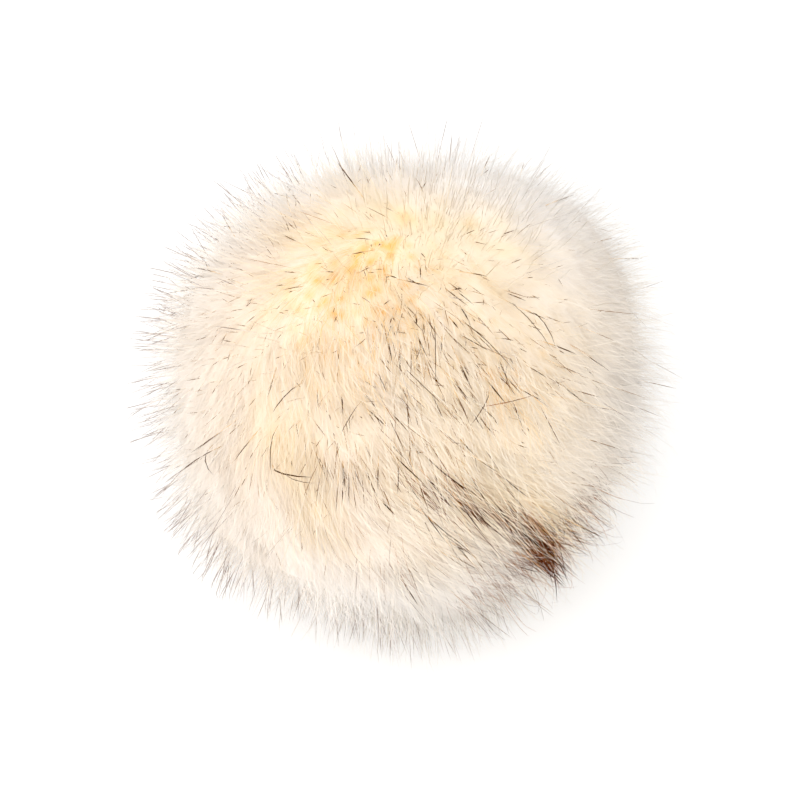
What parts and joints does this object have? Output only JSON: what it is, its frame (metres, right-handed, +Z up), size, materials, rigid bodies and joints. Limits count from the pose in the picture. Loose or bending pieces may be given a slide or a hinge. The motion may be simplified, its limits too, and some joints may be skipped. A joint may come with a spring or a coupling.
{
  "type": "pom pom",
  "caption": "Round long-pile fur pom pom in cream with dark guard hairs, on a small flat spot, for a hat, bag or key ring.",
  "frame": {"origin": "centre of the small flat spot under the ball, on the surface it stands on", "axes": "+Z up through the ball; the crown, where the fur parts, is near the top and tilts 9 degrees to -X; -Y is the front"},
  "size_m": [0.1196, 0.1197, 0.1127],
  "materials": {
    "fur": "soft long-pile fur, cream with warmer yellow patches at the crown and paler grey-beige edges; the guard hairs have dark brown tips"
  },
  "bodies": {
    "root": {"pom_pom": "fur"}
  },
  "joints": []
}
